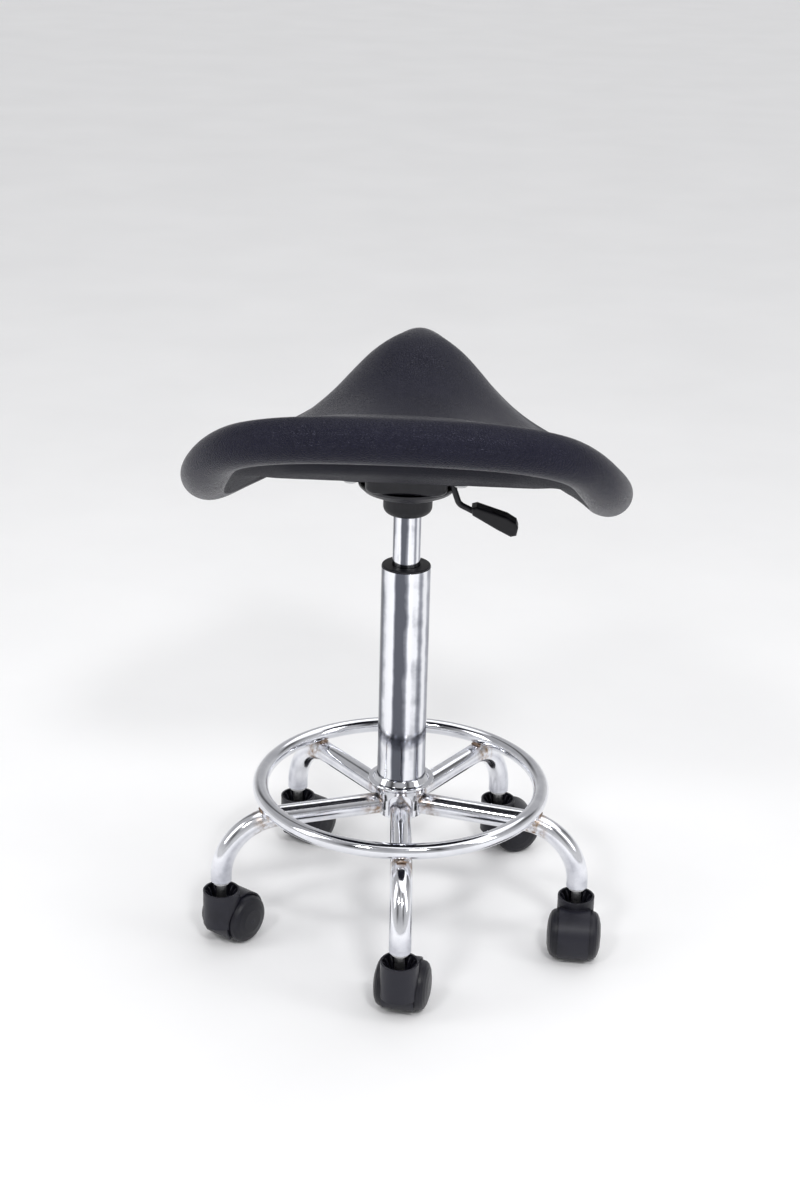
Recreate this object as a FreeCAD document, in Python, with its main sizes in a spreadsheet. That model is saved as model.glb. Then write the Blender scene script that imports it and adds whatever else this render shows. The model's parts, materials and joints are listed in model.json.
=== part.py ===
import FreeCAD, Part
import Sketcher
import math
import os

# A saddle-seat stool on a five-legged chromed base with a foot ring, a gas lift and five casters.
# Frame: millimetres, +Z up, origin on the floor under the column axis, the sitter faces +Y and
# the release lever is on the sitter's right, +X.

Vector = FreeCAD.Vector
UP = Vector(0, 0, 1)
ALONG_Y = Vector(0, 1, 0)

document = FreeCAD.newDocument("saddle_stool")
sheet = document.addObject("Spreadsheet::Sheet", "Dims")

# Driving dimensions: word, value in millimetres or degrees, meaning.
DIMENSIONS = [
    ("base_turn", 4.0, "turn of the rearmost leg from -Y towards +X, degrees"),
    ("leg_pitch", 72.0, "angle between legs, degrees"),
    ("leg_outer", 22.0, "leg tube diameter"),
    ("leg_wall", 1.5, "leg tube wall"),
    ("leg_height", 137.5, "height of a leg's axis where it leaves the hub"),
    ("leg_reach", 193.5, "radius of the caster stems from the column axis"),
    ("leg_bend", 60.0, "radius of the bend in a leg's axis"),
    ("leg_end", 72.0, "height of a leg's cut end"),
    ("ring_reach", 146.7, "radius of the foot ring's axis"),
    ("ring_height", 156.2, "height of the foot ring's axis"),
    ("ring_outer", 16.0, "foot ring tube diameter"),
    ("ring_wall", 1.5, "foot ring tube wall"),
    ("hub_outer", 49.0, "hub tube diameter"),
    ("hub_low", 127.0, "height of the hub tube's lower end"),
    ("hub_high", 165.0, "height of the hub tube's upper end"),
    ("cone_low", 22.1, "radius of the column's cone at its lower end"),
    ("cone_high", 22.7, "radius of the column's cone at its upper end"),
    ("column_low", 128.0, "height of the column's lower face"),
    ("column_high", 400.0, "height of the column's upper rim"),
    ("column_outer", 50.0, "column tube diameter"),
    ("column_wall", 1.6, "column tube wall"),
    ("cover_skirt", 26.2, "outer radius of the hub cover's skirt"),
    ("cover_flange", 34.3, "radius of the hub cover's flange"),
    ("cover_low", 128.6, "height of the skirt's lower edge"),
    ("cover_sheet", 1.5, "hub cover sheet thickness"),
    ("arch_width", 25.2, "width of the arch over each leg"),
    ("arch_top", 156.0, "height of the crown of each arch"),
    ("bush_length", 78.0, "length of the guide bush inside the column"),
    ("rod_outer", 10.0, "piston rod diameter"),
    ("rod_neck", 8.0, "piston rod diameter at the bearing"),
    ("cylinder_outer", 28.0, "gas cylinder diameter"),
    ("cylinder_bore", 22.0, "gas cylinder bore"),
    ("cylinder_low", 260.0, "height of the gas cylinder's lower end"),
    ("cone_start", 458.0, "height where the gas cylinder's taper starts"),
    ("cylinder_high", 494.0, "height of the gas cylinder's upper end"),
    ("cylinder_tip", 13.1, "radius of the gas cylinder's upper end"),
    ("running", 0.06, "radial running clearance of turning and sliding fits"),
    ("piston_low", 358.0, "height of the piston's lower face"),
    ("piston_length", 10.0, "piston length"),
    ("bearing_low", 131.0, "height of the thrust bearing's lower race"),
    ("race_height", 2.5, "thickness of a bearing race"),
    ("ball_size", 4.5, "bearing ball diameter"),
    ("ball_reach", 9.5, "radius of the ball circle"),
    ("ball_count", 8, "number of bearing balls"),
    ("collar_outer", 49.0, "socket collar diameter"),
    ("collar_low", 456.0, "height of the collar's lower face"),
    ("collar_high", 475.0, "height of the collar's upper face"),
    ("socket_outer", 35.0, "taper socket diameter"),
    ("socket_high", 494.4, "height of the taper socket's upper face"),
    ("dish_outer", 100.0, "diameter of the dish under the tray"),
    ("tray_width", 80.0, "mechanism tray width"),
    ("tray_length", 110.0, "mechanism tray length"),
    ("tray_centre", 7.0, "mechanism tray centre in front of the column axis"),
    ("tray_low", 489.0, "height of the tray's floor"),
    ("tray_sheet", 2.5, "tray and plate sheet thickness"),
    ("plate_width", 132.0, "mechanism plate width"),
    ("plate_length", 144.0, "mechanism plate length"),
    ("seat_under", 510.0, "height of the flat part of the seat's underside"),
    ("screw_across", 106.0, "spacing of the seat screws across the stool"),
    ("screw_along", 116.0, "spacing of the seat screws along the stool"),
    ("screw_size", 8.0, "seat screw diameter"),
    ("board_width", 240.0, "seat board width"),
    ("board_length", 165.0, "seat board length"),
    ("board_height", 10.0, "seat board thickness"),
    ("skin", 2.0, "foam under the seat board"),
    ("lever_rod", 6.0, "lever rod diameter"),
    ("lever_height", 501.8, "height of the lever rod inside the tray"),
    ("lever_offset", -30.0, "lever rod's place along the stool"),
    ("pivot_place", 31.0, "lever pivot's place across the stool"),
    ("pivot_pin", 4.0, "lever pivot pin diameter"),
    ("button_size", 6.0, "release pin diameter"),
    ("button_high", 498.4, "height of the release pin's upper end"),
    ("wheel_outer", 50.0, "caster wheel diameter"),
    ("wheel_trail", 18.0, "distance from a caster's stem axis to its axle"),
    ("axle_size", 6.0, "caster axle diameter"),
    ("web_width", 20.0, "width of a caster's web between its wheels"),
    ("hood_width", 32.0, "width of a caster's hood"),
    ("hood_reach", 28.0, "radius of a caster's hood about the axle"),
    ("barrel_outer", 38.0, "caster barrel diameter"),
    ("barrel_high", 60.5, "height of a caster barrel's rim"),
    ("barrel_low", 22.5, "height of a caster barrel's lower end"),
    ("web_low", 9.0, "height of the lower edge of the web between the wheels"),
    ("cup_bore", 34.0, "diameter of the cup in a caster's barrel"),
    ("cup_floor", 47.0, "height of the cup's floor"),
    ("stem_size", 10.0, "caster stem diameter"),
]

# Turn of each caster's trail from +Y towards +X, in degrees, in the order of the legs.
CASTER_TURNS = [8.0, 183.0, 69.0, 34.0, 34.0]

for row, (word, value, meaning) in enumerate(DIMENSIONS, start=1):
    sheet.set(f"A{row}", meaning)
    sheet.set(f"B{row}", str(value))
    sheet.setAlias(f"B{row}", word)
document.recompute()


class Size:
    """A length or angle: its value now, and the expression that binds it to the sheet."""

    def __init__(self, value, text):
        self.value = value
        self.text = text

    def join(self, other, sign, value):
        other_text = other.text if isinstance(other, Size) else repr(other)
        return Size(value, f"({self.text} {sign} {other_text})")

    def __add__(self, other):
        return self.join(other, "+", self.value + plain(other))

    def __sub__(self, other):
        return self.join(other, "-", self.value - plain(other))

    def __mul__(self, other):
        return self.join(other, "*", self.value * plain(other))

    def __truediv__(self, other):
        return self.join(other, "/", self.value / plain(other))

    def __radd__(self, other):
        return Size(other + self.value, f"({other!r} + {self.text})")

    def __rsub__(self, other):
        return Size(other - self.value, f"({other!r} - {self.text})")

    def __neg__(self):
        return Size(-self.value, f"(-1 * {self.text})")


def plain(size):
    """The number that a size or a bare number stands for."""
    return size.value if isinstance(size, Size) else float(size)


def dim(word):
    """A driving dimension from the sheet."""
    return Size(float(sheet.get(word)), f"{sheet.Name}.{word}")


def bind(item, prop, size):
    """Set a property, and bind it to the sheet when its size comes from there."""
    setattr(item, prop, plain(size))
    if isinstance(size, Size):
        item.setExpression(prop, size.text)


SUBPARTS = []


def subpart(item, label, placement=None):
    """Name an object as one physical piece of the stool."""
    item.Label = label
    if placement is not None:
        item.Placement = placement
    SUBPARTS.append(item)
    return item


def placed(x=0.0, y=0.0, z=0.0, turn=0.0, axis=UP):
    """A placement at a point, turned by an angle in degrees."""
    return FreeCAD.Placement(Vector(x, y, z), FreeCAD.Rotation(axis, turn))


def new_body(name):
    return document.addObject("PartDesign::Body", name)


def new_sketch(body, plane, offset=0.0):
    """A sketch on one of the body's origin planes, shifted along the plane's normal."""
    sketch = body.newObject("Sketcher::SketchObject", body.Name + "_sketch")
    support = next(f for f in body.Origin.OriginFeatures if f.Role == plane)
    sketch.AttachmentSupport = [(support, "")]
    sketch.MapMode = "FlatFace"
    sketch.AttachmentOffset = placed()
    if isinstance(offset, Size):
        sketch.AttachmentOffset = placed(z=offset.value)
        sketch.setExpression(".AttachmentOffset.Base.z", offset.text)
    elif offset:
        sketch.AttachmentOffset = placed(z=offset)
    return sketch


def pin_value(sketch, index, size):
    """Bind one dimensional constraint to the sheet."""
    if isinstance(size, Size):
        sketch.setExpression(f"Constraints[{index}]", size.text)


def pin_point(sketch, shape, point, x, y):
    """Fix a sketch point at a place given by two sizes."""
    pin_value(sketch, sketch.addConstraint(Sketcher.Constraint("DistanceX", -1, 1, shape, point, plain(x))), x)
    pin_value(sketch, sketch.addConstraint(Sketcher.Constraint("DistanceY", -1, 1, shape, point, plain(y))), y)


def outline(sketch, points):
    """A closed outline of straight lines through points given as sizes."""
    count = len(points)
    for index, (x, y) in enumerate(points):
        end_x, end_y = points[(index + 1) % count]
        start = Vector(plain(x), plain(y), 0)
        end = Vector(plain(end_x), plain(end_y), 0)
        sketch.addGeometry(Part.LineSegment(start, end))
    for index in range(count):
        following = (index + 1) % count
        sketch.addConstraint(Sketcher.Constraint("Coincident", index, 2, following, 1))
    for index, (x, y) in enumerate(points):
        pin_point(sketch, index, 1, x, y)


def circle(sketch, x, y, radius):
    """A circle placed and sized from the sheet."""
    shape = sketch.addGeometry(Part.Circle(Vector(plain(x), plain(y), 0), Vector(0, 0, 1), plain(radius)))
    pin_value(sketch, sketch.addConstraint(Sketcher.Constraint("Radius", shape, plain(radius))), radius)
    pin_point(sketch, shape, 3, x, y)


def rectangle(sketch, x, y, width, height):
    """A rectangle centred on a point."""
    left = x - width / 2
    right = x + width / 2
    low = y - height / 2
    high = y + height / 2
    outline(sketch, [(left, low), (right, low), (right, high), (left, high)])


def pad(body, sketch, length, both_ways=False):
    feature = body.newObject("PartDesign::Pad", body.Name + "_pad")
    feature.Profile = sketch
    bind(feature, "Length", length)
    feature.Midplane = both_ways
    return feature


def pocket(body, sketch, length, both_ways=False, reverse=False):
    feature = body.newObject("PartDesign::Pocket", body.Name + "_pocket")
    feature.Profile = sketch
    bind(feature, "Length", length)
    feature.Midplane = both_ways
    feature.Reversed = reverse
    return feature


def through(body, sketch):
    """A pocket right through the body, both ways from its sketch."""
    feature = body.newObject("PartDesign::Pocket", body.Name + "_through")
    feature.Profile = sketch
    feature.Type = "ThroughAll"
    feature.Midplane = True
    return feature


def around(body, feature, count):
    """Repeat a feature round the body's Z axis."""
    pattern = body.newObject("PartDesign::PolarPattern", body.Name + "_pattern")
    pattern.Originals = [feature]
    pattern.Axis = (next(f for f in body.Origin.OriginFeatures if f.Role == "Z_Axis"), [""])
    pattern.Angle = 360
    pattern.Occurrences = count
    body.Tip = pattern
    return pattern


def edge_names(shape, test):
    """Names of the edges whose middle point passes a test."""
    names = []
    for number, edge in enumerate(shape.Edges, start=1):
        middle = edge.valueAt((edge.FirstParameter + edge.LastParameter) / 2)
        if test(edge, middle):
            names.append(f"Edge{number}")
    return names


def rounded(body, radius, test):
    """Round the edges of the body's last feature that pass a test."""
    document.recompute()
    base = body.Tip
    names = edge_names(base.Shape, test)
    if not names:
        raise ValueError(f"{body.Name}: no edge to round")
    fillet = body.newObject("PartDesign::Fillet", body.Name + "_round")
    fillet.Base = (base, names)
    bind(fillet, "Radius", radius)
    return fillet


def turned(name, points):
    """A body of revolution about Z from an outline of radius and height."""
    body = new_body(name)
    sketch = new_sketch(body, "XZ_Plane")
    outline(sketch, points)
    turn = body.newObject("PartDesign::Revolution", name + "_turn")
    turn.Profile = sketch
    turn.ReferenceAxis = (sketch, ["V_Axis"])
    turn.Angle = 360
    return body


def is_upright(edge, middle):
    """True for a straight edge along Z."""
    if edge.Curve.TypeId != "Part::GeomLine":
        return False
    start, end = edge.Vertexes[0].Point, edge.Vertexes[-1].Point
    return math.hypot(start.x - end.x, start.y - end.y) < 0.01


# ---------------------------------------------------------------- base

def leg_angle(index):
    """Direction of a leg from +X, anticlockwise from above, in degrees."""
    return -90 + dim("base_turn").value + index * dim("leg_pitch").value


def leg_axis(sketch):
    """A leg's axis: straight out from the hub, then bent down to the caster."""
    reach, high, bend, low = dim("leg_reach"), dim("leg_height"), dim("leg_bend"), dim("leg_end")
    start = hub_inside()
    turn_x = reach - bend
    turn_z = high - bend
    sketch.addGeometry(Part.LineSegment(Vector(start.value, high.value, 0), Vector(turn_x.value, high.value, 0)))
    centre = Vector(turn_x.value, turn_z.value, 0)
    quarter = Part.ArcOfCircle(Part.Circle(centre, Vector(0, 0, 1), bend.value), 0, math.pi / 2)
    sketch.addGeometry(quarter)
    sketch.addGeometry(Part.LineSegment(Vector(reach.value, turn_z.value, 0), Vector(reach.value, low.value, 0)))
    sketch.addConstraint(Sketcher.Constraint("Coincident", 0, 2, 1, 2))
    sketch.addConstraint(Sketcher.Constraint("Coincident", 1, 1, 2, 1))
    pin_point(sketch, 0, 1, start, high)
    pin_point(sketch, 1, 3, turn_x, turn_z)
    pin_point(sketch, 0, 2, turn_x, high)
    pin_value(sketch, sketch.addConstraint(Sketcher.Constraint("DistanceY", -1, 1, 2, 1, turn_z.value)), turn_z)
    pin_point(sketch, 2, 2, reach, low)


def hub_inside():
    """Where a leg's tube starts before it is coped to the hub."""
    return dim("hub_outer") / 2 - 8


def make_leg(index):
    """One chromed leg: a bent tube, coped to fit the hub tube."""
    body = new_body(f"leg_{index + 1}")
    path = new_sketch(body, "XZ_Plane")
    leg_axis(path)
    section = new_sketch(body, "YZ_Plane", hub_inside())
    circle(section, 0, dim("leg_height"), dim("leg_outer") / 2)
    circle(section, 0, dim("leg_height"), dim("leg_outer") / 2 - dim("leg_wall"))
    pipe = body.newObject("PartDesign::AdditivePipe", body.Name + "_pipe")
    pipe.Profile = section
    pipe.Spine = path
    cope = new_sketch(body, "XY_Plane", dim("leg_height"))
    circle(cope, 0, 0, dim("hub_outer") / 2)
    pocket(body, cope, dim("leg_outer") * 2, both_ways=True)
    subpart(body, f"leg_{index + 1}", placed(turn=leg_angle(index)))


def make_foot_ring():
    """The foot ring: a tube bent into a circle, welded on top of the legs."""
    solid = {}
    for name, trim in (("ring_outside", 0), ("ring_inside", dim("ring_wall"))):
        torus = document.addObject("Part::Torus", name)
        bind(torus, "Radius1", dim("ring_reach"))
        bind(torus, "Radius2", dim("ring_outer") / 2 - trim)
        torus.Placement = placed(z=dim("ring_height").value)
        torus.setExpression(".Placement.Base.z", dim("ring_height").text)
        solid[name] = torus
    ring = document.addObject("Part::Cut", "foot_ring")
    ring.Base = solid["ring_outside"]
    ring.Tool = solid["ring_inside"]
    subpart(ring, "foot_ring")


def make_hub_tube():
    """The hub tube that the legs are welded to, with the column's taper inside."""
    low, high = dim("hub_low"), dim("hub_high")
    outer = dim("hub_outer") / 2
    bore_low = dim("cone_low") + dim("running")
    bore_high = dim("cone_high") + dim("running")
    points = [(bore_low, low), (outer, low), (outer, high), (bore_high, high)]
    subpart(turned("hub_tube", points), "hub_tube")


def make_hub_cover():
    """The pressed cover: a flange round the column and a skirt with an arch over each leg."""
    skirt, flange, low = dim("cover_skirt"), dim("cover_flange"), dim("cover_low")
    sheet_thick = dim("cover_sheet")
    hole = dim("column_outer") / 2 + 0.3
    rim = dim("hub_high") - 0.5
    points = [
        (hole, rim + 6.5), (hole + 1.6, rim + 6.3), (flange - 4.5, rim + 1.2), (flange - 0.6, rim + 0.7),
        (flange, rim - 0.2), (flange - 0.5, rim - 1.6), (flange - 4.5, rim - 5.5), (skirt + 1.4, rim - 10.5),
        (skirt, rim - 18), (skirt, low + 7), (skirt + 0.5, low),
        (skirt - sheet_thick + 0.5, low), (skirt - sheet_thick, low + 7), (skirt - sheet_thick, rim - 18),
        (skirt - sheet_thick + 1.3, rim - 10), (flange - 6, rim - 4.5), (flange - 3.2, rim - 1.4),
        (flange - 5.5, rim - 0.5), (hole + 0.8, rim + 4.7), (hole, rim + 4.8),
    ]
    body = turned("hub_cover", points)
    arch = new_sketch(body, "YZ_Plane")
    arch_outline(arch, low - 5)
    cut = pocket(body, arch, dim("cover_flange") * 2, reverse=True)
    around(body, cut, 5)
    subpart(body, "hub_cover", placed(turn=leg_angle(0)))


def arch_outline(sketch, low):
    """A round-headed opening: straight sides, a half circle on top."""
    half = dim("arch_width") / 2
    spring = dim("arch_top") - half
    left, right = -half, half
    sketch.addGeometry(Part.LineSegment(Vector(left.value, low.value, 0), Vector(right.value, low.value, 0)))
    sketch.addGeometry(Part.LineSegment(Vector(right.value, low.value, 0), Vector(right.value, spring.value, 0)))
    centre = Vector(0, spring.value, 0)
    sketch.addGeometry(Part.ArcOfCircle(Part.Circle(centre, Vector(0, 0, 1), half.value), 0, math.pi))
    sketch.addGeometry(Part.LineSegment(Vector(left.value, spring.value, 0), Vector(left.value, low.value, 0)))
    sketch.addConstraint(Sketcher.Constraint("Coincident", 0, 2, 1, 1))
    sketch.addConstraint(Sketcher.Constraint("Coincident", 1, 2, 2, 1))
    sketch.addConstraint(Sketcher.Constraint("Coincident", 2, 2, 3, 1))
    sketch.addConstraint(Sketcher.Constraint("Coincident", 3, 2, 0, 1))
    pin_point(sketch, 0, 1, left, low)
    pin_point(sketch, 1, 1, right, low)
    pin_point(sketch, 2, 3, 0, spring)
    pin_point(sketch, 1, 2, right, spring)
    pin_value(sketch, sketch.addConstraint(Sketcher.Constraint("DistanceY", -1, 1, 3, 1, spring.value)), spring)


def make_column():
    """The column: a tube swaged to a taper at its foot, closed by a floor with the rod's hole."""
    low, high = dim("column_low"), dim("column_high")
    outer = dim("column_outer") / 2
    wall = dim("column_wall")
    taper_top = dim("hub_high")
    floor = dim("bearing_low")
    hole = dim("rod_neck") / 2 + 0.4
    points = [
        (outer - wall, high), (outer, high), (outer, taper_top + 4), (dim("cone_high"), taper_top),
        (dim("cone_low"), low), (hole, low), (hole, floor), (dim("cone_low") - wall, floor),
        (dim("cone_high") - wall, taper_top), (outer - wall, taper_top + 5),
    ]
    subpart(turned("column_tube", points), "column_tube")


def make_guide_bush():
    """The plastic bush that guides the gas cylinder in the column, with a lip on the rim."""
    high = dim("column_high")
    low = high - dim("bush_length")
    bore = dim("cylinder_outer") / 2 + dim("running")
    body_radius = dim("column_outer") / 2 - dim("column_wall")
    lip = dim("column_outer") / 2 - 0.5
    points = [(bore, low), (body_radius, low), (body_radius, high), (lip, high), (lip, high + 1.4),
              (lip - 0.6, high + 2), (bore + 0.6, high + 2), (bore, high + 1.4)]
    subpart(turned("guide_bush", points), "guide_bush")


# ---------------------------------------------------------------- gas lift

def make_races():
    """The two flat races of the thrust bearing on the column's floor."""
    low = dim("bearing_low")
    thick = dim("race_height")
    outer = dim("ball_reach") + 4.5
    upper = low + thick + dim("ball_size") + 0.05
    neck = dim("rod_neck") / 2
    lower_points = [(neck + 0.8, low), (outer, low), (outer, low + thick), (neck + 0.8, low + thick)]
    upper_points = [(neck, upper), (outer, upper), (outer, upper + thick), (neck, upper + thick)]
    subpart(turned("lower_race", lower_points), "lower_race")
    subpart(turned("upper_race", upper_points), "upper_race")


def make_balls():
    """The bearing balls and the flat cage that spaces them."""
    middle = dim("bearing_low") + dim("race_height") + dim("ball_size") / 2 + 0.03
    count = int(plain(dim("ball_count")))
    reach = dim("ball_reach")
    balls = []
    for index in range(count):
        angle = 2 * math.pi * index / count
        ball = document.addObject("Part::Sphere", f"ball_{index + 1}")
        bind(ball, "Radius", dim("ball_size") / 2)
        ball.Placement = placed(reach.value * math.cos(angle), reach.value * math.sin(angle), middle.value)
        balls.append(ball)
    group = document.addObject("Part::Compound", "bearing_balls")
    group.Links = balls
    subpart(group, "bearing_balls")
    low, high = middle - 0.8, middle + 0.8
    cage = turned("ball_cage", [(reach - 3.6, low), (reach + 3.8, low), (reach + 3.8, high), (reach - 3.6, high)])
    window = new_sketch(cage, "XY_Plane", low - 1)
    circle(window, reach, 0, dim("ball_size") / 2 + 0.1)
    cut = pocket(cage, window, 4, reverse=True)
    around(cage, cut, count)
    subpart(cage, "ball_cage")


def make_piston_rod():
    """The rod that stands on the bearing, with its piston, buffer, washer and clip."""
    seat = dim("bearing_low") + dim("race_height") * 2 + dim("ball_size") + 0.05
    rod, neck = dim("rod_outer") / 2, dim("rod_neck") / 2
    floor = dim("column_low")
    piston, length = dim("piston_low"), dim("piston_length")
    groove_low, groove_high = floor - 3.1, floor - 1.9
    points = [
        (0, floor - 8), (neck - 0.8, floor - 8), (neck, floor - 7.2), (neck, groove_low), (neck - 0.8, groove_low),
        (neck - 0.8, groove_high), (neck, groove_high), (neck, seat), (rod, seat), (rod, piston),
        (rod - 2, piston), (rod - 2, piston + length), (0, piston + length),
    ]
    subpart(turned("piston_rod", points), "piston_rod")
    rim = dim("cylinder_bore") / 2 - 0.08
    ring = [(rod - 2, piston), (rim, piston), (rim, piston + length), (rod - 2, piston + length)]
    subpart(turned("piston", ring), "piston")
    buffer = [(rod, seat), (rod + 6.5, seat), (rod + 7, seat + 1), (rod + 6, seat + 15), (rod + 5, seat + 16),
              (rod, seat + 16)]
    subpart(turned("buffer_ring", buffer), "buffer_ring")
    washer = [(neck, floor - 1.8), (neck + 4, floor - 1.8), (neck + 4, floor - 0.5), (neck, floor - 0.5)]
    subpart(turned("rod_washer", washer), "rod_washer")
    clip = turned("rod_clip", [(neck - 0.8, groove_low), (neck + 2.6, groove_low), (neck + 2.6, groove_high),
                               (neck - 0.8, groove_high)])
    gap = new_sketch(clip, "XY_Plane", floor - 5)
    rectangle(gap, neck + 2, 0.0, neck + 3, neck - 0.2)
    pocket(clip, gap, 6, reverse=True)
    subpart(clip, "rod_clip")


def make_cylinder():
    """The gas cylinder, tapered at the top, with the gland that the rod slides in."""
    low, high = dim("cylinder_low"), dim("cylinder_high")
    outer, bore = dim("cylinder_outer") / 2, dim("cylinder_bore") / 2
    pin = dim("button_size") / 2 + 0.05
    roof = dim("cone_start") + 20
    points = [
        (bore, low), (outer - 1, low), (outer, low + 1), (outer, dim("cone_start")),
        (dim("cylinder_tip"), high), (pin, high), (pin, roof), (bore, roof),
    ]
    subpart(turned("gas_cylinder", points), "gas_cylinder")
    hole = dim("rod_outer") / 2 + dim("running")
    gland = [(hole, low + 2), (bore, low + 2), (bore, low + 14), (hole, low + 14)]
    subpart(turned("rod_gland", gland), "rod_gland")


def make_release_pin():
    """The valve's release pin in the top of the gas cylinder."""
    radius = dim("button_size") / 2
    low = dim("cone_start") + 25
    high = dim("button_high")
    points = [(0, low), (radius, low), (radius, high - 0.6), (radius - 0.6, high), (0, high)]
    subpart(turned("release_pin", points), "release_pin")


# ---------------------------------------------------------------- mechanism

def make_socket():
    """The taper socket that grips the gas cylinder, its round collar and the dish above."""
    outer = dim("socket_outer") / 2
    low, high = dim("cone_start") + 1, dim("socket_high")
    wide = dim("cylinder_outer") / 2 + 0.04
    narrow = dim("cylinder_tip") + 0.04
    socket = [(wide, low), (outer, low), (outer, high), (narrow, high)]
    subpart(turned("taper_socket", socket), "taper_socket")
    rim, base, top = dim("collar_outer") / 2, dim("collar_low"), dim("collar_high")
    collar = turned("socket_collar", [(wide + 0.4, base), (rim, base), (rim, top), (outer, top), (outer, low - 0.2),
                                      (wide + 0.4, low - 0.2)])
    rounded(collar, 8, lambda edge, middle: abs(middle.z - base.value) < 0.01 and
            math.hypot(middle.x, middle.y) > rim.value - 0.5)
    subpart(collar, "socket_collar")
    wide_dish, floor = dim("dish_outer") / 2, dim("tray_low")
    dish = [
        (outer, top + 0.1), (outer + 9, top + 0.4), (wide_dish - 14, top + 3), (wide_dish - 5, top + 7),
        (wide_dish - 0.6, floor - 2.6), (wide_dish, floor), (wide_dish - 2, floor), (wide_dish - 2.4, floor - 1.7),
        (wide_dish - 6, top + 9), (wide_dish - 14.6, top + 5.1), (outer + 8.8, top + 2.5), (outer, top + 2.2),
    ]
    subpart(turned("socket_dish", dish), "socket_dish")


def make_tray():
    """The pressed tray under the seat, open on top, with the socket's hole and the lever's slot."""
    body = new_body("mechanism_tray")
    floor = dim("tray_low")
    depth = dim("seat_under") - dim("tray_sheet") - floor
    centre = dim("tray_centre")
    half_width, half_length = dim("tray_width") / 2, dim("tray_length") / 2
    shape = new_sketch(body, "XY_Plane", floor)
    rectangle(shape, 0.0, centre, dim("tray_width"), dim("tray_length"))
    pad(body, shape, depth)
    rounded(body, 12, is_upright)
    rounded(body, 5, lambda edge, middle: abs(middle.z - floor.value) < 0.01)
    document.recompute()
    top = body.Tip
    lid = max(range(len(top.Shape.Faces)), key=lambda number: top.Shape.Faces[number].CenterOfMass.z)
    shell = body.newObject("PartDesign::Thickness", "mechanism_tray_shell")
    shell.Base = (top, [f"Face{lid + 1}"])
    bind(shell, "Value", dim("tray_sheet"))
    shell.Reversed = True
    document.recompute()
    hole = new_sketch(body, "XY_Plane", floor - 1)
    circle(hole, 0.0, 0.0, dim("socket_outer") / 2)
    pocket(body, hole, dim("tray_sheet") + 2, reverse=True)
    slot = new_sketch(body, "YZ_Plane", half_width - 8)
    slot_low = dim("lever_height") - 4.5
    slot_high = dim("seat_under")
    rectangle(slot, dim("lever_offset"), (slot_low + slot_high) / 2, dim("lever_rod") + 4, slot_high - slot_low)
    pocket(body, slot, half_length, reverse=True)
    subpart(body, "mechanism_tray")


def screw_places():
    """Centres of the four seat screws."""
    across, along = dim("screw_across").value / 2, dim("screw_along").value / 2
    centre = dim("tray_centre").value
    return [(x, centre + y) for x in (-across, across) for y in (-along, along)]


def screw_holes(body, level, depth, radius):
    """Four round holes upwards from a level, one for each seat screw."""
    centre = dim("tray_centre")
    sketch = new_sketch(body, "XY_Plane", level)
    for across in (-0.5, 0.5):
        for along in (-0.5, 0.5):
            circle(sketch, dim("screw_across") * across, centre + dim("screw_along") * along, radius)
    pocket(body, sketch, depth, reverse=True)


def make_plate():
    """The flat plate that closes the tray and carries the seat."""
    body = new_body("mechanism_plate")
    under = dim("seat_under") - dim("tray_sheet")
    shape = new_sketch(body, "XY_Plane", under)
    rectangle(shape, 0.0, dim("tray_centre"), dim("plate_width"), dim("plate_length"))
    pad(body, shape, dim("tray_sheet"))
    rounded(body, 14, is_upright)
    screw_holes(body, under - 1, dim("tray_sheet") + 2, dim("screw_size") / 2 + 0.5)
    subpart(body, "mechanism_plate")


def make_lever_bracket():
    """The bracket on the tray's floor that holds the lever's pivot pin."""
    ear_thick, gap = 2.0, 8.8
    body = new_body("lever_bracket")
    floor = dim("tray_low") + dim("tray_sheet")
    pivot_x, pivot_z = dim("pivot_place"), dim("lever_height")
    place_y = dim("lever_offset")
    ear_top = pivot_z + 4.4
    shape = new_sketch(body, "YZ_Plane", pivot_x - 4.5)
    inner_left, inner_right = place_y - gap / 2, place_y + gap / 2
    left, right = inner_left - ear_thick, inner_right + ear_thick
    outline(shape, [(left, floor), (right, floor), (right, ear_top), (inner_right, ear_top),
                    (inner_right, floor + 1.6), (inner_left, floor + 1.6), (inner_left, ear_top), (left, ear_top)])
    pad(body, shape, 9)
    hole = new_sketch(body, "XZ_Plane")
    circle(hole, pivot_x, pivot_z, dim("pivot_pin") / 2)
    through(body, hole)
    subpart(body, "lever_bracket")
    pin = document.addObject("Part::Cylinder", "lever_pin")
    bind(pin, "Radius", dim("pivot_pin") / 2)
    pin.Height = gap + 2 * ear_thick + 1
    start_y = place_y.value - pin.Height.Value / 2
    subpart(pin, "lever_pin", placed(pivot_x.value, start_y, pivot_z.value, -90, Vector(1, 0, 0)))


def bent_path(corners, radii):
    """A wire through corner points, each inner corner rounded by a tangent arc."""
    edges = []
    start = corners[0]
    for before, corner, after, radius in zip(corners, corners[1:], corners[2:], radii):
        back = (before - corner).normalize()
        ahead = (after - corner).normalize()
        half = back.getAngle(ahead) / 2
        reach = radius / math.tan(half)
        bisector = (back + ahead).normalize()
        centre = corner + bisector * (radius / math.sin(half))
        first, last = corner + back * reach, corner + ahead * reach
        edges.append(Part.LineSegment(start, first).toShape())
        edges.append(Part.Arc(first, centre - bisector * radius, last).toShape())
        start = last
    edges.append(Part.LineSegment(start, corners[-1]).toShape())
    return Part.Wire(edges)


def swept_rod(path, radius):
    """A round rod along a wire."""
    first = path.Edges[0]
    start = first.valueAt(first.FirstParameter)
    direction = first.tangentAt(first.FirstParameter)
    section = Part.Wire(Part.makeCircle(radius, start, direction))
    return path.makePipeShell([section], True, False)


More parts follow.
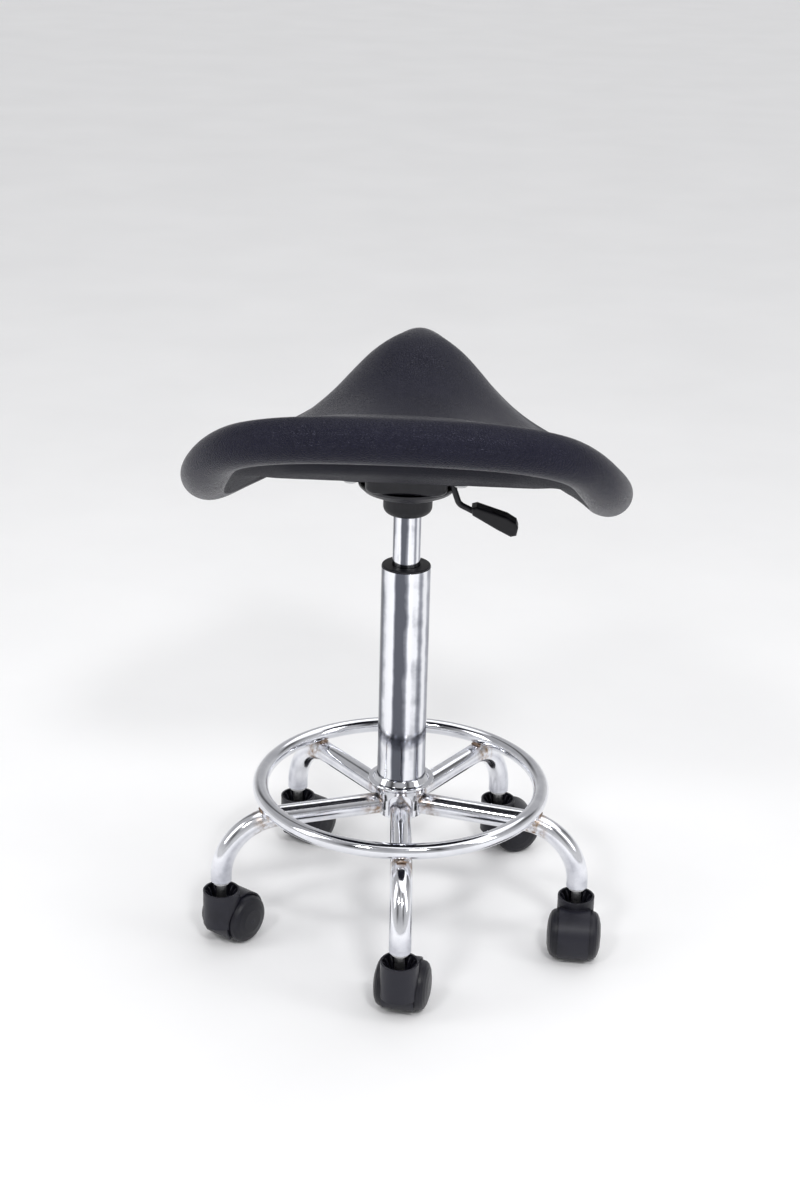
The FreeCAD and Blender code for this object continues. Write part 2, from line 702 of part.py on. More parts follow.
def lever_corners():
    """Corner points of the lever rod, from the release pin out to the paddle."""
    level, place_y = dim("lever_height").value, dim("lever_offset").value
    return [
        Vector(-1.8, 2.4, level), Vector(22, place_y, level), Vector(43, place_y, level),
        Vector(51.5, place_y, level - 24), Vector(80, place_y, level - 37.5),
    ]


def make_lever():
    """The bent lever rod with its pivot boss, and the paddle pressed on its end."""
    radius = dim("lever_rod").value / 2
    rod_shape = swept_rod(bent_path(lever_corners(), [8, 6, 10]), radius)
    pivot = Vector(dim("pivot_place").value, dim("lever_offset").value, dim("lever_height").value)
    half_boss = 4.0
    pin_bore = dim("pivot_pin").value / 2 + 0.06
    base = pivot - ALONG_Y * half_boss
    boss = Part.makeCylinder(4.4, 2 * half_boss, base, ALONG_Y)
    bore = Part.makeCylinder(pin_bore, 4 * half_boss, pivot - ALONG_Y * 2 * half_boss, ALONG_Y)
    rod = document.addObject("Part::Feature", "lever_rod")
    rod.Shape = rod_shape.fuse(boss).cut(bore).removeSplitter()
    subpart(rod, "lever_rod")
    paddle = new_body("paddle_blank")
    shape = new_sketch(paddle, "XZ_Plane", -dim("lever_offset"))
    level = dim("lever_height")
    across = dim("pivot_place") + 34
    outline(shape, [(across, level - 32.5), (across - 1, level - 25), (across + 4, level - 23.5),
                    (across + 34, level - 33), (across + 43, level - 38.5), (across + 45, level - 44),
                    (across + 43.5, level - 51.5), (across + 38, level - 53), (across + 24, level - 46),
                    (across + 8, level - 37)])
    pad(paddle, shape, 19, both_ways=True)
    rounded(paddle, 2.4, lambda edge, middle: abs(abs(middle.y - dim("lever_offset").value) - 9.5) < 0.01)
    document.recompute()
    hold = document.addObject("Part::Feature", "lever_rod_space")
    hold.Shape = rod_shape
    grip = document.addObject("Part::Cut", "lever_grip")
    grip.Base = paddle
    grip.Tool = hold
    subpart(grip, "lever_paddle")


# ---------------------------------------------------------------- seat

# Sections across the saddle, from rear to front: place along the stool, half width, crown height,
# height of the rim roll's axis at the side, roll radius, height of the underside, and how late
# the top starts to fall towards the side.
SEAT_SECTIONS = [
    (-205, 92, 592, 585, 5, 580, 2.2),
    (-198, 128, 602, 578, 12, 569, 2.2),
    (-182, 160, 608, 568, 18, 564, 2.4),
    (-155, 185, 603, 552, 21, 548, 2.2),
    (-120, 202, 590, 535, 22, 529, 1.8),
    (-75, 213, 576, 515, 23, 511, 1.4),
    (-10, 218, 568, 490, 23, 510, 1.1),
    (55, 214, 577, 477, 23, 510, 1.0),
    (105, 198, 598, 474, 23, 514, 1.0),
    (138, 168, 606, 479, 22, 528, 1.1),
    (160, 130, 602, 498, 20, 545, 1.0),
    (174, 84, 591, 534, 15, 558, 1.0),
    (180, 48, 580, 556, 8, 565, 1.0),
]
ROLL_ANGLES = [62, 20, -25, -70, -115]
TOP_STEPS = [0.0, 0.2, 0.4, 0.6, 0.8]


def seat_half_section(half_width, crown, roll_height, roll, under, delay):
    """Points of one half of a section, from the crown out round the rim to the underside."""
    centre = half_width - roll
    roll_top = roll_height + roll
    points = []
    for step in TOP_STEPS:
        fall = ((1 - math.cos(math.pi * step)) / 2) ** delay
        points.append((step * centre, crown - (crown - roll_top) * fall))
    for angle in ROLL_ANGLES:
        turn = math.radians(angle)
        points.append((centre + roll * math.cos(turn), roll_height + roll * math.sin(turn)))
    inner = max(centre - roll - 6, 0.55 * centre)
    thickness = min(28, crown - under)
    for step in (1.0, 0.8, 0.4):
        fall = ((1 - math.cos(math.pi * step * inner / centre)) / 2) ** delay
        top = crown - (crown - roll_top) * fall
        points.append((inner * step, min(under, top - thickness)))
    points.append((0.0, under))
    return points


def seat_section(place, *sizes):
    """One closed section of the saddle as a wire."""
    half = seat_half_section(*sizes)
    loop = half + [(-x, z) for x, z in reversed(half[1:-1])]
    corners = [Vector(x, place, z) for x, z in loop]
    return Part.makePolygon(corners + corners[:1])


def board_box():
    """Lowest corner and size of the seat board."""
    width, length = dim("board_width").value, dim("board_length").value
    low = dim("seat_under").value + dim("skin").value
    corner = Vector(-width / 2, dim("tray_centre").value - length / 2, low)
    return corner, width, length, dim("board_height").value


def make_seat():
    """The moulded foam saddle, hollowed for the board, the nuts and the screws."""
    sections = [seat_section(*row) for row in SEAT_SECTIONS]
    foam = Part.makeLoft(sections, True, True)
    corner, width, length, height = board_box()
    board = Part.makeBox(width, length, height, corner)
    upright = [edge for edge in board.Edges if is_upright(edge, None)]
    tools = [board.makeFillet(30, upright)]
    top = corner.z + height
    for x, y in screw_places():
        tools.append(Part.makeCylinder(9.6, 2.0, Vector(x, y, top)))
        tools.append(Part.makeCylinder(5.4, corner.z - dim("seat_under").value + 1, Vector(x, y, corner.z - 3)))
    seat = document.addObject("Part::Feature", "seat_cushion")
    seat.Shape = foam.cut(tools)
    subpart(seat, "seat_cushion")


def make_board():
    """The board moulded into the saddle, drilled for the nuts."""
    body = new_body("seat_board")
    low = dim("seat_under") + dim("skin")
    shape = new_sketch(body, "XY_Plane", low)
    rectangle(shape, 0.0, dim("tray_centre"), dim("board_width"), dim("board_length"))
    pad(body, shape, dim("board_height"))
    rounded(body, 30, is_upright)
    screw_holes(body, low - 1, dim("board_height") + 2, dim("screw_size") / 2 + 1.2)
    subpart(body, "seat_board")


def make_fasteners():
    """The tee nuts in the board and the screws that hold the plate to them."""
    thread = dim("screw_size").value / 2
    low = dim("seat_under").value + dim("skin").value
    height = dim("board_height").value
    plate_low = dim("seat_under").value - dim("tray_sheet").value
    nuts, screws = [], []
    for number, (x, y) in enumerate(screw_places(), start=1):
        barrel = Part.makeCylinder(thread + 1.2, height, Vector(x, y, low))
        flange = Part.makeCylinder(9.6, 1.6, Vector(x, y, low + height))
        bore = Part.makeCylinder(thread, height + 4, Vector(x, y, low - 1))
        nuts.append(barrel.fuse(flange).cut(bore).removeSplitter())
        shank = Part.makeCylinder(thread, low + height - plate_low - 1, Vector(x, y, plate_low))
        head = Part.makeCylinder(6.6, 4.6, Vector(x, y, plate_low - 4.6))
        head = head.makeFillet(1.2, [edge for edge in head.Edges if abs(edge.CenterOfMass.z - plate_low + 4.6) < 0.01
                                     and edge.Curve.TypeId == "Part::GeomCircle"])
        key = Part.Face(Part.makePolygon([Vector(x + 2.9 * math.cos(k * math.pi / 3),
                                                 y + 2.9 * math.sin(k * math.pi / 3), plate_low - 5)
                                          for k in range(7)]))
        screws.append(shank.fuse(head).cut(key.extrude(Vector(0, 0, 3.4))).removeSplitter())
    for name, shapes in (("tee_nuts", nuts), ("seat_screws", screws)):
        item = document.addObject("Part::Feature", name)
        item.Shape = Part.makeCompound(shapes)
        subpart(item, name)


# ---------------------------------------------------------------- casters

def caster_place(index):
    """A caster's stem axis on the floor."""
    angle = math.radians(leg_angle(index))
    reach = dim("leg_reach").value
    return reach * math.cos(angle), reach * math.sin(angle)


def caster_placement(index):
    """A caster's own frame: origin on the floor on its stem axis, trail along its +X."""
    x, y = caster_place(index)
    return placed(x, y, 0, 90 - CASTER_TURNS[index])


def make_caster_housing(index):
    """A caster's housing: a cup-shaped barrel, a web between the wheels and a hood over them."""
    body = new_body(f"caster_housing_{index + 1}")
    trail, axle_z = dim("wheel_trail"), dim("wheel_outer") / 2
    high, barrel = dim("barrel_high"), dim("barrel_outer") / 2
    shape = new_sketch(body, "XY_Plane", dim("barrel_low"))
    circle(shape, 0.0, 0.0, barrel)
    pad(body, shape, high - dim("barrel_low"))
    hood = new_sketch(body, "XZ_Plane")
    circle(hood, trail, axle_z, dim("hood_reach"))
    pad(body, hood, dim("hood_width"), both_ways=True)
    for side in (-1, 1):
        space = new_sketch(body, "XZ_Plane", dim("web_width") / 2 * side)
        circle(space, trail, axle_z, dim("wheel_outer") / 2 + 1)
        pocket(body, space, 30, reverse=(side > 0))
    under = new_sketch(body, "XY_Plane", dim("web_low"))
    rectangle(under, trail, 0.0, dim("wheel_outer") * 2.4, dim("wheel_outer") * 2)
    pocket(body, under, 20)
    cup = new_sketch(body, "XY_Plane", dim("cup_floor"))
    circle(cup, 0.0, 0.0, dim("cup_bore") / 2)
    pocket(body, cup, 30, reverse=True)
    bore = new_sketch(body, "XY_Plane", dim("cup_floor"))
    circle(bore, 0.0, 0.0, dim("stem_size") / 2 + dim("running"))
    pocket(body, bore, 17)
    axle = new_sketch(body, "XZ_Plane")
    circle(axle, trail, axle_z, dim("axle_size") / 2)
    through(body, axle)
    subpart(body, f"caster_housing_{index + 1}", caster_placement(index))


def make_caster_axle(index):
    """A caster's axle pin, held in the web."""
    length = 48.0
    pin = document.addObject("Part::Cylinder", f"caster_axle_{index + 1}")
    bind(pin, "Radius", dim("axle_size") / 2)
    pin.Height = length
    across = placed(dim("wheel_trail").value, length / 2, plain(dim("wheel_outer")) / 2, 90, Vector(1, 0, 0))
    subpart(pin, f"caster_axle_{index + 1}", caster_placement(index).multiply(across))


def make_caster_wheel(index, side, side_name):
    """One domed wheel, turned about its axle, on the left or right of the web."""
    inner = dim("web_width") / 2 + 0.5
    rim = dim("wheel_outer") / 2
    bore = dim("axle_size") / 2 + dim("running")
    cap = inner + 14
    points = [
        (bore, inner), (rim - 0.8, inner), (rim, inner + 0.8), (rim, inner + 8.5), (rim - 0.7, inner + 11),
        (rim - 2.6, inner + 13.3), (rim - 6.5, inner + 15.3), (rim - 13, inner + 16.9), (0, inner + 17.5),
        (0, cap), (bore, cap),
    ]
    name = f"caster_wheel_{side_name}_{index + 1}"
    across = placed(dim("wheel_trail").value, 0, plain(dim("wheel_outer")) / 2, -90 * side, Vector(1, 0, 0))
    subpart(turned(name, points), name, caster_placement(index).multiply(across))


def make_stems():
    """The five caster stems with their flanges, and the plugs in the leg ends that hold them."""
    end = dim("leg_end")
    stems, plugs = [], []
    for index in range(5):
        x, y = caster_place(index)
        stem = document.addObject("Part::Cylinder", f"stem_shank_{index + 1}")
        bind(stem, "Radius", dim("stem_size") / 2)
        stem.Height = 57.0
        stem.Placement = placed(x, y, end.value - 41)
        flange = document.addObject("Part::Cylinder", f"stem_flange_{index + 1}")
        bind(flange, "Radius", dim("stem_size") / 2 + 3.5)
        flange.Height = 3.0
        flange.Placement = placed(x, y, end.value - 3.0)
        joined = document.addObject("Part::Fuse", f"stem_{index + 1}")
        joined.Base = stem
        joined.Tool = flange
        stems.append(joined)
        plug = document.addObject("Part::Cylinder", f"plug_blank_{index + 1}")
        bind(plug, "Radius", dim("leg_outer") / 2 - dim("leg_wall") - 0.1)
        plug.Height = 8.0
        plug.Placement = placed(x, y, end.value)
        drill = document.addObject("Part::Cylinder", f"plug_drill_{index + 1}")
        bind(drill, "Radius", dim("stem_size") / 2)
        drill.Height = 20.0
        drill.Placement = placed(x, y, end.value - 5)
        ring = document.addObject("Part::Cut", f"plug_{index + 1}")
        ring.Base = plug
        ring.Tool = drill
        plugs.append(ring)
    for name, pieces in (("caster_stems", stems), ("stem_plugs", plugs)):
        group = document.addObject("Part::Compound", name)
        group.Links = pieces
        subpart(group, name)


def make_base():
    for index in range(5):
        make_leg(index)
    make_foot_ring()
    make_hub_tube()
    make_hub_cover()
    make_column()
    make_guide_bush()
    make_stems()


def make_lift():
    make_races()
    make_balls()
    make_piston_rod()
    make_cylinder()
    make_release_pin()


def make_top():
    make_socket()
    make_tray()
    make_plate()
    make_lever_bracket()
    make_lever()
    make_seat()
    make_board()
    make_fasteners()


def make_casters():
    for index in range(5):
        make_caster_housing(index)
        make_caster_axle(index)
        make_caster_wheel(index, 1, "left")
        make_caster_wheel(index, -1, "right")


def check_model():
    """Stop if an object failed or a sub-part has no sound shape."""
    faults = []
    for item in document.Objects:
        if "Invalid" in item.State or "Error" in item.State:
            faults.append(f"{item.Label}: {item.State}")
    for item in SUBPARTS:
        if item.Shape.isNull() or not item.Shape.isValid() or not item.Shape.Solids:
            faults.append(f"{item.Label}: no sound solid")
    if faults:
        raise RuntimeError("; ".join(faults))


make_base()
make_lift()
make_top()
make_casters()
document.recompute()
check_model()
os.makedirs("parts", exist_ok=True)
for piece in SUBPARTS:
    piece.Shape.exportStep(f"parts/{piece.Label}.step")
    print(f"{piece.Label:24s} {piece.Shape.Volume / 1000:9.2f} cm3  {len(piece.Shape.Solids)} solid(s)")
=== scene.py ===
import json
import math
import bmesh
import bpy
import numpy as np
from mathutils import Matrix, Vector


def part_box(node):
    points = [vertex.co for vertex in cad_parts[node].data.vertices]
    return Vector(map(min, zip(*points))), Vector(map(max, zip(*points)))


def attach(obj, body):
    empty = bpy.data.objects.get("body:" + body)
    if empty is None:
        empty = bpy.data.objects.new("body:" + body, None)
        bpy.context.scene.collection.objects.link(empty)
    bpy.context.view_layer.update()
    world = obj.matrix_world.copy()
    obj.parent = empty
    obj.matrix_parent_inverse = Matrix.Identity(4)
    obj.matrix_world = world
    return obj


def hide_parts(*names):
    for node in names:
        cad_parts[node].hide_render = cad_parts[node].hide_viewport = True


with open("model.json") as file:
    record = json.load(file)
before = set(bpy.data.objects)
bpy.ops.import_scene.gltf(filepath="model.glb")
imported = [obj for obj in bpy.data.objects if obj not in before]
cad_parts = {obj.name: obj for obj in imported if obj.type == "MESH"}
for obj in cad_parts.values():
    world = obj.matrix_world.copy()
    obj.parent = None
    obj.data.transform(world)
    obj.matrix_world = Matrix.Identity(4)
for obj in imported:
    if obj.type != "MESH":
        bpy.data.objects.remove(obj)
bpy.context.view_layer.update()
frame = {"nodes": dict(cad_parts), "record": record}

MM = 0.001  # a millimetre in the frame's metres

# The base, from the CAD model.
LEG_COUNT = 5
LEG_PITCH = 360 / LEG_COUNT  # degrees from one leg to the next
LEG_TURN = -86.0  # direction of the first leg, in degrees from +X
LEG_TUBE = 11.0 * MM  # radius of a leg's tube
RING_REACH = 146.7 * MM  # radius of the foot ring's axis
RING_TUBE = 8.0 * MM  # radius of the foot ring's tube
STEM_REACH = 193.5 * MM  # radius of the circle of caster stems

HUB_MARK = 30.0 * MM  # radius of the heat marks beside the hub

# Numbers of a colour mix node's sockets.
MIX_FIRST, MIX_SECOND, MIX_RESULT = 6, 7, 2

# ---------------------------------------------------------------- materials


def new_material(name):
    """A node material with its Principled shader, ready for wiring."""
    material = bpy.data.materials.new(name)
    material.use_nodes = True
    shader = material.node_tree.nodes["Principled BSDF"]
    return material, material.node_tree, shader


def coordinates(tree, scale=(1, 1, 1)):
    """Object coordinates in metres, stretched by a scale."""
    source = tree.nodes.new("ShaderNodeTexCoord")
    mapping = tree.nodes.new("ShaderNodeMapping")
    mapping.inputs["Scale"].default_value = scale
    tree.links.new(source.outputs["Object"], mapping.inputs["Vector"])
    return mapping.outputs["Vector"]


def noise(tree, vector, scale, detail=4.0, roughness=0.55):
    """Cloudy variation in space."""
    node = tree.nodes.new("ShaderNodeTexNoise")
    node.inputs["Scale"].default_value = scale
    node.inputs["Detail"].default_value = detail
    node.inputs["Roughness"].default_value = roughness
    tree.links.new(vector, node.inputs["Vector"])
    return node.outputs["Fac"]


def voronoi_edge(tree, vector, scale):
    """Distance to the nearest cell border, for grained skin."""
    node = tree.nodes.new("ShaderNodeTexVoronoi")
    node.feature = "DISTANCE_TO_EDGE"
    node.inputs["Scale"].default_value = scale
    tree.links.new(vector, node.inputs["Vector"])
    return node.outputs["Distance"]


def ramp(tree, factor, stops):
    """A colour ramp from (position, colour) stops."""
    node = tree.nodes.new("ShaderNodeValToRGB")
    elements = node.color_ramp.elements
    while len(elements) < len(stops):
        elements.new(0.5)
    for element, (position, colour) in zip(elements, stops):
        element.position = position
        element.color = (*colour, 1.0)
    tree.links.new(factor, node.inputs["Fac"])
    return node.outputs["Color"]


def span(tree, factor, low, high, out_low, out_high):
    """A value carried from one range to another."""
    node = tree.nodes.new("ShaderNodeMapRange")
    for name, value in (("From Min", low), ("From Max", high), ("To Min", out_low), ("To Max", out_high)):
        node.inputs[name].default_value = value
    tree.links.new(factor, node.inputs["Value"])
    return node.outputs["Result"]


def combine(tree, operation, first, second=0.0):
    """A math operation on one value or two; the second may be a number."""
    node = tree.nodes.new("ShaderNodeMath")
    node.operation = operation
    tree.links.new(first, node.inputs[0])
    if isinstance(second, (int, float)):
        node.inputs[1].default_value = second
    else:
        tree.links.new(second, node.inputs[1])
    return node.outputs["Value"]


def colour_mix(tree, factor):
    """A node that blends two colours; the colour sockets of a mix node are known by number."""
    node = tree.nodes.new("ShaderNodeMix")
    node.data_type = "RGBA"
    tree.links.new(factor, node.inputs[0])
    return node


def bump(tree, shader, height, distance, strength=1.0, edge=0.0):
    """Surface relief, on top of softened edges where an edge radius is given."""
    node = tree.nodes.new("ShaderNodeBump")
    node.inputs["Strength"].default_value = strength
    node.inputs["Distance"].default_value = distance
    tree.links.new(height, node.inputs["Height"])
    if edge:
        bevel = tree.nodes.new("ShaderNodeBevel")
        bevel.samples = 4
        bevel.inputs["Radius"].default_value = edge
        tree.links.new(bevel.outputs["Normal"], node.inputs["Normal"])
    tree.links.new(node.outputs["Normal"], shader.inputs["Normal"])


def edge_wear(tree):
    """High along convex edges, low in hollows."""
    geometry = tree.nodes.new("ShaderNodeNewGeometry")
    return span(tree, geometry.outputs["Pointiness"], 0.5, 0.6, 0.0, 1.0)


def chrome_material():
    """Polished chrome plate with faint polishing haze and small blemishes."""
    material, tree, shader = new_material("chrome_plate")
    vector = coordinates(tree)
    haze = noise(tree, vector, 38.0, 5.0)
    specks = noise(tree, vector, 900.0, 2.0)
    colour = ramp(tree, haze, [(0.3, (0.70, 0.71, 0.75)), (0.7, (0.84, 0.85, 0.89))])
    tree.links.new(colour, shader.inputs["Base Color"])
    shader.inputs["Metallic"].default_value = 1.0
    rough = span(tree, combine(tree, "MULTIPLY", haze, specks), 0.1, 0.4, 0.04, 0.14)
    tree.links.new(rough, shader.inputs["Roughness"])
    bump(tree, shader, haze, 0.0004, 0.15, 0.0006)
    return material


def upright_chrome_material():
    """Chrome on an upright tube, toned in lengthwise streaks as the reflections of a dark room would be."""
    material, tree, shader = new_material("chrome_upright")
    vector = coordinates(tree, (1, 1, 0.0))
    direction = tree.nodes.new("ShaderNodeVectorMath")
    direction.operation = "NORMALIZE"
    tree.links.new(vector, direction.inputs[0])
    streaks = noise(tree, direction.outputs["Vector"], 1.25, 2.0, 0.4)
    haze = noise(tree, coordinates(tree), 38.0, 5.0)
    mix = combine(tree, "ADD", streaks, combine(tree, "MULTIPLY", haze, 0.12))
    stops = [(0.46, (0.10, 0.105, 0.125)), (0.52, (0.34, 0.35, 0.39)), (0.56, (0.80, 0.81, 0.85)),
             (0.62, (0.86, 0.87, 0.90)), (0.68, (0.36, 0.37, 0.42)), (0.74, (0.16, 0.165, 0.19))]
    tree.links.new(ramp(tree, mix, stops), shader.inputs["Base Color"])
    shader.inputs["Metallic"].default_value = 1.0
    tree.links.new(span(tree, haze, 0.3, 0.7, 0.06, 0.13), shader.inputs["Roughness"])
    bump(tree, shader, haze, 0.0004, 0.15, 0.0006)
    return material


def heated_chrome_material():
    """Chrome on the legs: brown heat marks at the foot ring and beside the hub, and painted shade that
    darkens the faces standing upright.
    """
    material, tree, shader = new_material("chrome_heated")
    vector = coordinates(tree)
    haze = noise(tree, vector, 55.0, 5.0)
    reach = tree.nodes.new("ShaderNodeVectorMath")
    reach.operation = "LENGTH"
    tree.links.new(coordinates(tree, (1, 1, 0)), reach.inputs[0])
    from_ring = combine(tree, "ABSOLUTE", combine(tree, "SUBTRACT", reach.outputs["Value"], RING_REACH))
    from_hub = combine(tree, "ABSOLUTE", combine(tree, "SUBTRACT", reach.outputs["Value"], HUB_MARK))
    near = combine(tree, "MAXIMUM", span(tree, from_ring, 0.004, 0.017, 1.0, 0.0),
                   span(tree, from_hub, 0.004, 0.020, 0.9, 0.0))
    patches = span(tree, noise(tree, vector, 130.0, 5.0, 0.65), 0.42, 0.62, 0.0, 1.0)
    mark = combine(tree, "MULTIPLY", near, patches)
    facing = tree.nodes.new("ShaderNodeNewGeometry")
    split = tree.nodes.new("ShaderNodeSeparateXYZ")
    tree.links.new(facing.outputs["Normal"], split.inputs["Vector"])
    # Painted shade: the base colour is darkened where a face stands upright, going by its normal.
    painted_upright_shade = span(tree, combine(tree, "ABSOLUTE", split.outputs["Z"]), 0.0, 0.30, 0.20, 0.0)
    tone = combine(tree, "SUBTRACT", combine(tree, "ADD", combine(tree, "MULTIPLY", haze, 0.4), 0.3), painted_upright_shade)
    tones = [(0.20, (0.36, 0.37, 0.42)), (0.34, (0.66, 0.67, 0.72)), (0.50, (0.86, 0.87, 0.91))]
    bright = ramp(tree, tone, tones)
    burnt = ramp(tree, haze, [(0.3, (0.17, 0.10, 0.06)), (0.7, (0.40, 0.28, 0.18))])
    mix = colour_mix(tree, mark)
    tree.links.new(bright, mix.inputs[MIX_FIRST])
    tree.links.new(burnt, mix.inputs[MIX_SECOND])
    tree.links.new(mix.outputs[MIX_RESULT], shader.inputs["Base Color"])
    shader.inputs["Metallic"].default_value = 1.0
    dulled = combine(tree, "MULTIPLY", mark, 0.25)
    rough = combine(tree, "ADD", span(tree, haze, 0.3, 0.7, 0.07, 0.15), dulled)
    tree.links.new(rough, shader.inputs["Roughness"])
    bump(tree, shader, haze, 0.0004, 0.15, 0.0006)
    return material


def weld_material():
    """Heat-tinted weld metal under thin chrome."""
    material, tree, shader = new_material("weld_tint")
    vector = coordinates(tree)
    patches = noise(tree, vector, 220.0, 5.0)
    tones = [(0.3, (0.10, 0.065, 0.045)), (0.5, (0.30, 0.21, 0.15)), (0.7, (0.5, 0.47, 0.45))]
    tree.links.new(ramp(tree, patches, tones), shader.inputs["Base Color"])
    shader.inputs["Metallic"].default_value = 0.9
    tree.links.new(span(tree, patches, 0.3, 0.7, 0.5, 0.28), shader.inputs["Roughness"])
    bump(tree, shader, noise(tree, vector, 900.0), 0.0006, 0.8)
    return material


def steel_material(name, dark, light, rough_low, rough_high):
    """Ground or plated steel with fine marks."""
    material, tree, shader = new_material(name)
    vector = coordinates(tree, (1, 1, 6))
    marks = noise(tree, vector, 260.0, 6.0)
    tree.links.new(ramp(tree, marks, [(0.3, dark), (0.7, light)]), shader.inputs["Base Color"])
    shader.inputs["Metallic"].default_value = 1.0
    tree.links.new(span(tree, marks, 0.3, 0.7, rough_low, rough_high), shader.inputs["Roughness"])
    bump(tree, shader, marks, 0.0002, 0.3, 0.0003)
    return material


def skin_material(name, dark, light, rough_low, rough_high, grain):
    """Moulded foam skin with a fine leather grain, rubbed smoother where it stands proud."""
    material, tree, shader = new_material(name)
    vector = coordinates(tree)
    cells = voronoi_edge(tree, vector, grain)
    fine = noise(tree, vector, grain * 2.4, 3.0)
    cloud = noise(tree, vector, 14.0, 4.0)
    pebble = combine(tree, "MULTIPLY", span(tree, cells, 0.0, 0.22, 0.0, 1.0), 0.8)
    height = combine(tree, "ADD", pebble, combine(tree, "MULTIPLY", fine, 0.5))
    mix = combine(tree, "ADD", combine(tree, "MULTIPLY", height, 0.5), combine(tree, "MULTIPLY", cloud, 0.5))
    tree.links.new(ramp(tree, mix, [(0.25, dark), (0.8, light)]), shader.inputs["Base Color"])
    rough = span(tree, combine(tree, "ADD", cloud, combine(tree, "MULTIPLY", pebble, -0.25)), 0.1, 0.8,
                 rough_low, rough_high)
    tree.links.new(rough, shader.inputs["Roughness"])
    shader.inputs["Specular IOR Level"].default_value = 0.22
    shader.inputs["Specular Tint"].default_value = (0.80, 0.80, 1.0, 1.0)
    bump(tree, shader, height, 0.0006, 0.75)
    return material


def plastic_material(name, dark, light, rough_low, rough_high, edge):
    """Plastic, rubber or powder coat with a fine texture and scuffed edges."""
    material, tree, shader = new_material(name)
    vector = coordinates(tree)
    texture = noise(tree, vector, 1400.0, 3.0)
    cloud = noise(tree, vector, 45.0, 5.0)
    wear = combine(tree, "MULTIPLY", edge_wear(tree), cloud)
    mix = combine(tree, "ADD", combine(tree, "MULTIPLY", cloud, 0.7), wear)
    tree.links.new(ramp(tree, mix, [(0.2, dark), (0.9, light)]), shader.inputs["Base Color"])
    tree.links.new(span(tree, cloud, 0.25, 0.75, rough_low, rough_high), shader.inputs["Roughness"])
    shader.inputs["Specular IOR Level"].default_value = 0.32
    bump(tree, shader, texture, 0.00016, 0.6, edge)
    return material


def wood_material():
    """The plywood of the seat board."""
    material, tree, shader = new_material("plywood")
    vector = coordinates(tree, (1, 9, 30))
    rings = noise(tree, vector, 14.0, 6.0)
    tree.links.new(ramp(tree, rings, [(0.3, (0.28, 0.18, 0.09)), (0.7, (0.48, 0.34, 0.2))]),
                   shader.inputs["Base Color"])
    tree.links.new(span(tree, rings, 0.3, 0.7, 0.5, 0.7), shader.inputs["Roughness"])
    bump(tree, shader, rings, 0.0004, 0.4)
    return material


MATERIALS = {
    "chrome": chrome_material(),
    "black_plastic": plastic_material("black_plastic", (0.005, 0.005, 0.007), (0.018, 0.018, 0.023),
                                      0.38, 0.55, 0.0006),
    "zinc_steel": steel_material("zinc_steel", (0.40, 0.41, 0.42), (0.62, 0.62, 0.62), 0.25, 0.42),
    "bearing_steel": steel_material("bearing_steel", (0.42, 0.42, 0.44), (0.58, 0.58, 0.6), 0.14, 0.3),
    "rubber": plastic_material("buffer_rubber", (0.006, 0.006, 0.006), (0.016, 0.016, 0.016),
                               0.7, 0.85, 0.0004),
    "black_steel": plastic_material("black_powder_coat", (0.006, 0.006, 0.009), (0.022, 0.022, 0.028),
                                    0.26, 0.42, 0.0005),
    "seat_foam": skin_material("seat_skin", (0.0022, 0.0022, 0.0062), (0.0085, 0.0085, 0.0190),
                               0.24, 0.40, 430.0),
    "board": wood_material(),
    "black_nylon": plastic_material("black_nylon", (0.0030, 0.0030, 0.0060), (0.0150, 0.0150, 0.0230),
                                    0.32, 0.46, 0.0008),
}
UNDER_SKIN = skin_material("seat_under_skin", (0.0016, 0.0016, 0.0040), (0.0050, 0.0050, 0.0100),
                           0.5, 0.65, 800.0)
WELD = weld_material()
UPRIGHT_CHROME = upright_chrome_material()
HEATED_CHROME = heated_chrome_material()
UPRIGHT_NODES = ("column_tube", "piston_rod", "gas_cylinder")


def dress_cad_nodes():
    """Give every CAD node the material of its slot."""
    for row in frame["record"]["subparts"]:
        node = frame["nodes"][row["node"]]
        material = MATERIALS[row["material_slot"]]
        if row["node"] in UPRIGHT_NODES:
            material = UPRIGHT_CHROME
        elif row["node"].startswith("leg_"):
            material = HEATED_CHROME
        if not node.material_slots:
            node.data.materials.append(material)
        for slot in node.material_slots:
            slot.material = material


# ---------------------------------------------------------------- meshes


def mesh_object(name, build, smooth=True):
    """A mesh object filled by a function that is given an empty bmesh."""
    mesh = bpy.data.meshes.new(name)
    grid = bmesh.new()
    build(grid)
    bmesh.ops.recalc_face_normals(grid, faces=grid.faces)
    grid.to_mesh(mesh)
    grid.free()
    if smooth:
        mesh.polygons.foreach_set("use_smooth", [True] * len(mesh.polygons))
    item = bpy.data.objects.new(name, mesh)
    bpy.context.scene.collection.objects.link(item)
    return item


def apply_modifiers(item):
    """Freeze an object's modifiers into its mesh."""
    graph = bpy.context.evaluated_depsgraph_get()
    result = bpy.data.meshes.new_from_object(item.evaluated_get(graph))
    item.modifiers.clear()
    old = item.data
    item.data = result
    bpy.data.meshes.remove(old)


# ---------------------------------------------------------------- saddle

# The axis of the rim roll on the right-hand side in millimetres, from the middle of the rear to the
# middle of the front: across, along, height and roll radius.
RIM = [
    (0, -183, 586, 22),
    (60, -182, 585, 22),
    (108, -175, 580, 22),
    (143, -158, 569, 22.5),
    (168, -130, 550, 23.5),
    (184, -95, 526, 24),
    (193, -55, 505, 24),
    (196, -10, 488, 24),
    (192, 42, 476, 24),
    (179, 84, 472, 23.5),
    (160, 112, 474, 23),
    (134, 133, 483, 22),
    (103, 146, 501, 21),
    (68, 153, 534, 21),
    (34, 157, 566, 21),
    (0, 159, 584, 21),
]

